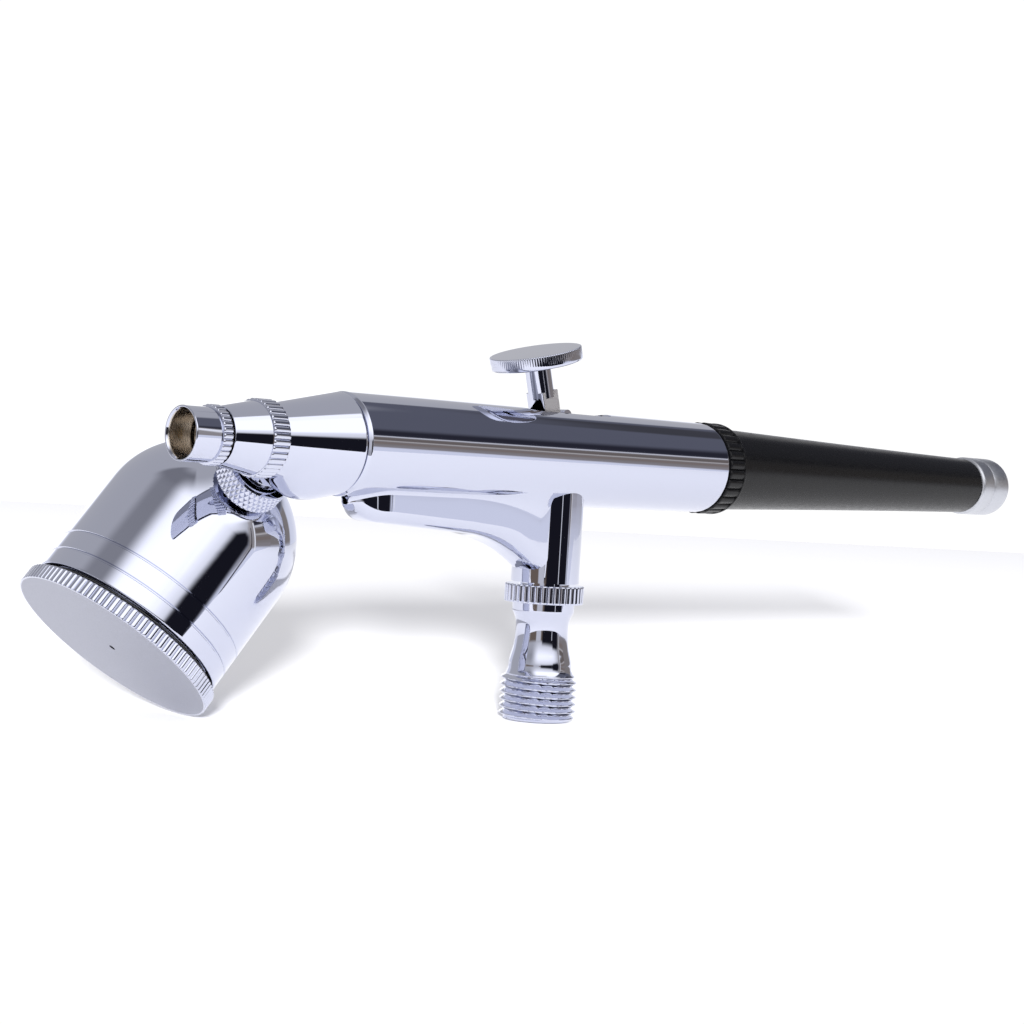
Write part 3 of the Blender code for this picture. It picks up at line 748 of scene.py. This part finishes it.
def make_trigger_lever():
    post = rounded([(15.6, 0, 0), (15.6, 0.8, 0.0), (14.4, 0.8, 0.0), (14.4, 1.65, 0.08),
                    (10.5, 1.65, 0.0), (10.5, 0, 0)])
    slab_shape = slab((-LEVER_HALF + 0.4, -LEVER_HALF, 0.7), (LEVER_HALF, LEVER_HALF, 11.3))
    nose = rod(0.7, 11.3, LEVER_HALF, 96)
    bmesh.ops.scale(nose, vec=(0.3, 1, 1), verts=nose.verts)
    bmesh.ops.translate(nose, vec=(-LEVER_HALF + 0.45, 0, 0), verts=nose.verts)
    neck = slab((-0.9, -LEVER_HALF, 0.0), (0.9, LEVER_HALF, 1.0))
    foot = cross_rod((0, 0, 0), 1.0, LEVER_HALF)
    line = [slab((-3, side - 0.07, 8.62), (3, side + 0.07, 8.78)) for side in
            (-LEVER_HALF, LEVER_HALF)]
    lever = worked(slab_shape, joins=[nose, spun(post, 128), neck, foot],
                   cuts=[slab((-3, -0.9, 1.3), (3, 0.9, 6.3))] + line)
    for face in lever.faces:
        flat = abs(face.normal.y) > 0.99 or abs(face.normal.z) > 0.99 or face.normal.x > 0.99
        face.material_index = int(flat and face.calc_center_median().z < 11.4)
    finished(placed(lever, TRIGGER), "trigger_lever", [CHROME, MILLED])


def make_back_lever():
    tip = 6.1
    stalk = slab((-0.6, -1.5, 2.8), (0.6, 1.5, tip))
    joins = [cross_rod((0, 0, tip), 0.75, 1.5), slab((-0.61, -2.8, 2.3), (0.61, 2.8, 3.1))]
    for side in (-1, 1):
        near, far = sorted((side * 2.2, side * 2.8))
        joins.append(slab((-0.9, near, -1.1), (0.9, far, 2.9)))
    lever = worked(stalk, joins=joins, cuts=[cross_rod((0, 0, 0), 0.7, 4.0)])
    finished(placed(lever, LEVER), "back_lever")


make_button()
make_trigger_lever()
make_back_lever()

# %% [markdown]
# ## Air valve
# Below the stem the valve has a fluted ring, a narrow waist and the G1/8 thread for the
# hose. A real thread is a helix. Here the threaded stretch has many rows of points, and
# each point moves in by where it is on the helix, so the skin stays closed.

# %% Air valve
THREAD_R, THREAD_PITCH, THREAD_DEPTH = 9.728 / 2, 0.907, 0.581
VALVE_END = -CORE.z / MM
THREAD_LONG = 5.85
THREAD_TOP = VALVE_END + THREAD_LONG


def thread_depth(turn, along):
    """Depth below the crest of a 55 degree thread, fading in at both ends."""
    place = (along / THREAD_PITCH + turn) % 1
    groove = 1 - abs(place * 2 - 1)
    flat = min(1.0, max(0.0, groove * 1.25 - 0.08))
    ends = min((THREAD_TOP - along) / 0.45, (along - VALVE_END) / 0.45, 1.0)
    return THREAD_DEPTH * (1 - flat * max(0.0, ends))


def make_valve():
    ring_r, ring_top = 5.05, STEM_END - 0.3
    ring_low = ring_top - 2.3
    waist = [(-19.5, 3.95), (-19.8, 3.78), (-20.2, 3.57), (-20.7, 3.42), (-21.2, 3.36),
             (-21.8, 3.345), (-22.4, 3.36), (-23.0, 3.4), (-23.7, 3.49), (-24.35, 3.6),
             (-24.9, 3.74), (-25.3, 3.85), (-25.8, 3.96), (-26.2, 4.02), (-26.8, 4.05)]
    rows = 110
    threads = [(THREAD_TOP - THREAD_LONG * i / rows, THREAD_R) for i in range(rows + 1)]
    outline = rounded([(-9.9, 3.2, 0.0), (ring_top, 3.2, 0.0), (ring_top, ring_r, 0.15),
                       (ring_low, ring_r, 0.15), (ring_low, 3.95, 0.0)])
    outline += [(-19.3, 3.95)] + waist + threads
    outline += [(VALVE_END, 2.6), (-17.5, 2.6), (-17.5, 1.25), (-9.9, 1.25)]
    shape = spun(outline, 36 * 8)
    press_in(shape, ring_low - 0.01, ring_top + 0.01, 4.3, bars(36, 0.24))
    press_in(shape, VALVE_END - 0.01, THREAD_TOP + 0.01, 4.3, thread_depth)
    finished(shape, "valve_body")


make_valve()

# %% [markdown]
# ## Colour cup
# The cup is a half ball on a short tube, with two fine grooves near its mouth. Its stub
# sits on the head's port and is held by a knurled union nut. The lid has a finely fluted
# rim, a satin face and a tiny vent.

# %% Colour cup
CUP_R, CUP_WALL, CUP_MOUTH = 12.3, 0.9, 13.5
LID_R, LID_RIM = 12.95, 1.9
LID_FACE = (CUP_CENTRE.z + CORE.z / MM - LID_R * math.hypot(CUP_AXIS.x, CUP_AXIS.y)) / -CUP_AXIS.z


def make_bowl():
    inner, groove, ball = CUP_R - CUP_WALL, 0.2, 40
    outline = [(-inner * math.cos(math.radians(90 * i / ball)),
                inner * math.sin(math.radians(90 * i / ball))) for i in range(ball + 1)]
    outline += rounded([(1.0, inner, 0.0), (CUP_MOUTH, inner, 0.15), (CUP_MOUTH, CUP_R, 0.2),
                        (12.5, CUP_R, 0.0)])
    for place in (11.3, 8.8):
        outline += [(place + groove * 1.6, CUP_R), (place + groove * 0.8, CUP_R),
                    (place + groove * 0.3, CUP_R - groove * 0.7),
                    (place - groove * 0.3, CUP_R - groove * 0.7),
                    (place - groove * 0.8, CUP_R), (place - groove * 1.6, CUP_R)]
    outline += [(-CUP_R * math.sin(math.radians(90 * i / ball)),
                 CUP_R * math.cos(math.radians(90 * i / ball))) for i in range(ball + 1)]
    dome = CUP_REACH - CUP_R
    stub = rounded([(dome + 0.5, 0, 0), (dome + 0.5, 1.75, 0.0), (7.6, 1.75, 0.0),
                    (7.6, 2.5, 0.06), (7.2, 2.5, 0.06), (7.2, 0, 0)])
    bowl = worked(placed(spun(outline, 256), CUP), joins=[placed(spun(stub, 96), PORT)],
                  cuts=[placed(rod(6.0, dome + 3.0, 1.0, 48), PORT)])
    finished(bowl, "cup_bowl")


def make_union_nut():
    rows, low, high, nut_r = 44, 6.0, 8.7, 4.2
    side = [(high - (high - low) * i / rows, nut_r) for i in range(rows + 1)]
    outline = [(8.8, 2.05), (8.8, 4.05)] + side + [(5.9, 4.05), (5.9, 2.85), (7.9, 2.85),
                                                  (7.9, 2.05)]
    shape = spun(outline, 40 * 10)
    press_in(shape, low - 0.01, high + 0.01, 4.1, diamonds(40, 0.66, 0.2))
    finished(placed(shape, PORT), "cup_union_nut", crease=25)


def make_lid():
    plug = CUP_R - CUP_WALL - 0.3
    rim, count = LID_FACE - LID_RIM, 104
    outline = rounded([(LID_FACE, 0.4, 0.04), (LID_FACE, LID_R, 0.14), (rim, LID_R, 0.16),
                       (rim, plug, 0.0), (rim - 3.0, plug, 0.1), (rim - 3.0, plug - 0.9, 0.1),
                       (rim + 0.6, plug - 0.9, 0.0), (rim + 0.6, 0.4, 0.0)])
    shape = spun(outline, count * 8)
    press_in(shape, rim - 0.01, LID_FACE - 0.03, LID_R - 0.3, bars(count, 0.2))
    # The lid's face gets the satin chrome, whose darker base colour is painted shade.
    for face in shape.faces:
        centre = face.calc_center_median()
        on_face = centre.z > LID_FACE - 0.03 and math.hypot(centre.x, centre.y) < LID_R - 0.2
        face.material_index = int(on_face)
    finished(placed(shape, CUP), "cup_lid", [CHROME, LAPPED_PAINTED_SHADE])


make_bowl()
make_union_nut()
make_lid()

# %% [markdown]
# ## Camera
# A long lens, low over the table and in front of the nose to its left, shows the cup, the
# lid's face and the full length of the barrel.

# %% Camera
CAMERA_FROM_CORE = Vector((-181.93, -182.03, -1.63))
CAMERA_AHEAD = Vector((0.6937, 0.7199, -0.0215))
CAMERA_RIGHT = Vector((0.7197, -0.6916, 0.0610))
LENS_MM = 71.14


def make_camera():
    lens = bpy.data.cameras.new("camera")
    lens.lens = LENS_MM
    lens.sensor_width = 36
    lens.clip_start, lens.clip_end = 0.005, 50
    camera = bpy.data.objects.new("camera", lens)
    back = -CAMERA_AHEAD.normalized()
    right = (CAMERA_RIGHT - back * back.dot(CAMERA_RIGHT)).normalized()
    turn = Matrix((right, back.cross(right), back)).transposed()
    camera.matrix_world = Matrix.Translation(CORE + CAMERA_FROM_CORE * MM) @ turn.to_4x4()
    bpy.context.scene.collection.objects.link(camera)
    bpy.context.scene.camera = camera
    print("Camera at", [round(v, 4) for v in camera.matrix_world.translation])


make_camera()

# %% [markdown]
# ## Studio
# Chrome shows the room more than itself. The tool stands near the front edge of a white
# table. Round it there are a brown wall with pale lines beyond the table's right end, a
# dark ceiling above that, a large white panel in front and a dark gap under the panel.
# The room is painted on the sky as soft patches, each with a direction in degrees (round
# from the handle's side towards the viewer's, then up) and a half width and half height.
# Diffuse light stays even, and the camera sees plain white.

# %% The table
TABLE_FRONT, TABLE_BACK, TABLE_HALF = 0.119, 0.8, 0.7
TABLE_TURN = math.radians(25)


def make_table():
    shape = bmesh.new()
    bmesh.ops.create_grid(shape, x_segments=1, y_segments=1, size=TABLE_HALF)
    for vert in shape.verts:
        vert.co.y = TABLE_BACK if vert.co.y > 0 else -TABLE_FRONT
    mesh = bpy.data.meshes.new("table")
    shape.to_mesh(mesh)
    shape.free()
    made, tree, shader = new_finish("white_table", "#f2f2f4", 0.0, 0.9)
    shader.inputs["Specular IOR Level"].default_value = 0.0
    mesh.materials.append(made)
    table = bpy.data.objects.new("table", mesh)
    table.location = (CORE.x, CORE.y, -0.0002)
    table.rotation_euler.z = -TABLE_TURN
    bpy.context.scene.collection.objects.link(table)


# %% The room
AMBIENT = 0.7
ROOM = [  # azimuth, half width, elevation, half height, softness, radiance
    (0, 70, -30, 32, 6, (0.95, 0.97, 1.08)),
    (-45, 55, 2, 13, 8, (0.9, 0.92, 1.02)),
    (-64, 14, 6, 9, 6, (1.5, 1.5, 1.5)),
    (180, 30, 45, 24, 24, (0.33, 0.33, 0.35)),
    (178, 50, 72, 12, 14, (0.26, 0.26, 0.28)),
    (25, 36, 8, 9, 4, (0.3, 0.27, 0.25)),
    (15, 38, 34, 17, 4, (0.14, 0.145, 0.18)),
    (38, 15, 22, 5, 7, (0.03, 0.03, 0.042)),
    (-6, 11, 41, 4, 6, (0.07, 0.07, 0.08)),
    (44, 14, 16.6, 0.9, 0.8, (0.75, 0.74, 0.76)),
    (42, 12, 12.6, 1.8, 1.0, (0.2, 0.17, 0.15)),
    (42, 12, 9.4, 0.7, 0.8, (0.6, 0.56, 0.52)),
    (42, 12, 5.8, 1.5, 1.2, (0.28, 0.23, 0.2)),
    (42, 12, 0.8, 1.4, 1.6, (0.34, 0.31, 0.3)),
    (56, 4, 14, 16, 2, (0.4, 0.37, 0.35)),
    (53, 0.7, 8, 12, 0.8, (1.2, 1.2, 1.2)),
    (57.5, 0.6, 4, 12, 0.7, (0.05, 0.04, 0.04)),
    (112, 45, 38, 23, 34, (1.75, 1.75, 1.78)),
    (76, 20, 43, 20, 5, (1.7, 1.7, 1.72)),
    (62, 15, 60, 7, 5, (1.6, 1.6, 1.62)),
    (155, 38, 0, 7, 4, (0.2, 0.155, 0.12)),
    (147, 10, 0, 8, 5, (0.75, 0.75, 0.78)),
    (96, 35, -14, 24, 6, (0.012, 0.012, 0.018)),
    (74, 11, 4, 9, 6, (0.012, 0.012, 0.018)),
    (89, 1.2, -3, 8, 1, (0.9, 0.9, 0.92)),
    (-172, 3, 0, 6, 3, (0.7, 0.66, 0.6)),
]


def window_of(tree, value, centre, half, soft):
    """1 within half of a centre direction, fading to 0 over the softness, in degrees."""
    off = add(tree, "Math", {0: value, 1: math.radians(centre)}, operation="SUBTRACT")
    near = add(tree, "Math", {0: off.outputs[0], 1: math.pi, 2: -math.pi}, operation="WRAP")
    size = add(tree, "Math", {0: near.outputs[0]}, operation="ABSOLUTE")
    return add(tree, "MapRange", {"Value": size.outputs[0],
                                  "From Min": math.radians(half + soft / 2),
                                  "From Max": math.radians(half - soft / 2)},
               interpolation_type="SMOOTHSTEP").outputs[0]


def make_room():
    world = bpy.data.worlds.new("studio")
    bpy.context.scene.world = world
    world.use_nodes = True
    tree = world.node_tree
    where = add(tree, "TexCoord")
    parts = add(tree, "SeparateXYZ", {0: where.outputs["Generated"]})
    towards_viewer = add(tree, "Math", {0: parts.outputs[1], 1: -1.0}, operation="MULTIPLY")
    azimuth = add(tree, "Math", {0: towards_viewer.outputs[0], 1: parts.outputs[0]},
                  operation="ARCTAN2").outputs[0]
    elevation = add(tree, "Math", {0: parts.outputs[2]}, operation="ARCSINE").outputs[0]
    seen = add(tree, "RGB").outputs[0]
    seen.default_value = (0.55, 0.55, 0.57, 1)
    for turn, half_wide, up, half_high, soft, radiance in ROOM:
        wide = window_of(tree, azimuth, turn, half_wide, soft)
        high = window_of(tree, elevation, up, half_high, soft)
        both = add(tree, "Math", {0: wide, 1: high}, operation="MULTIPLY")
        seen = add(tree, "MixRGB", {"Fac": both.outputs[0], "Color1": seen,
                                    "Color2": list(radiance) + [1]}).outputs[0]
    path = add(tree, "LightPath")
    even = add(tree, "MixRGB", {"Fac": path.outputs["Is Diffuse Ray"], "Color1": seen,
                                "Color2": (AMBIENT, AMBIENT, AMBIENT * 1.03, 1)})
    shown = add(tree, "MixRGB", {"Fac": path.outputs["Is Camera Ray"],
                                 "Color1": even.outputs[0], "Color2": (1.05, 1.05, 1.05, 1)})
    tree.links.new(shown.outputs[0], tree.nodes["Background"].inputs["Color"])


# %% [markdown]
# The key light is a small lamp, low and 0.7 m away, close to the line of sight. Its
# shadows run back behind the tool and spread a little, so the valve hides its own. Its
# light is kept from fading with distance, as a far window's would be, and mirrors do not
# see it, because the white panel already gives them their highlight.

# %% Key light
def make_key_light():
    light = bpy.data.lights.new("key", "POINT")
    light.energy = 150.0
    light.shadow_soft_size = 0.035
    light.use_nodes = True
    tree = light.node_tree
    steady = add(tree, "LightFalloff", {"Strength": 1.0})
    tree.links.new(steady.outputs["Constant"], tree.nodes["Emission"].inputs["Strength"])
    key = bpy.data.objects.new("key", light)
    key.location = CORE + Vector((-0.493, -0.533, 0.111))
    key.visible_glossy = False
    bpy.context.scene.collection.objects.link(key)


make_table()
make_room()
make_key_light()
bpy.context.scene.view_settings.view_transform = "Standard"
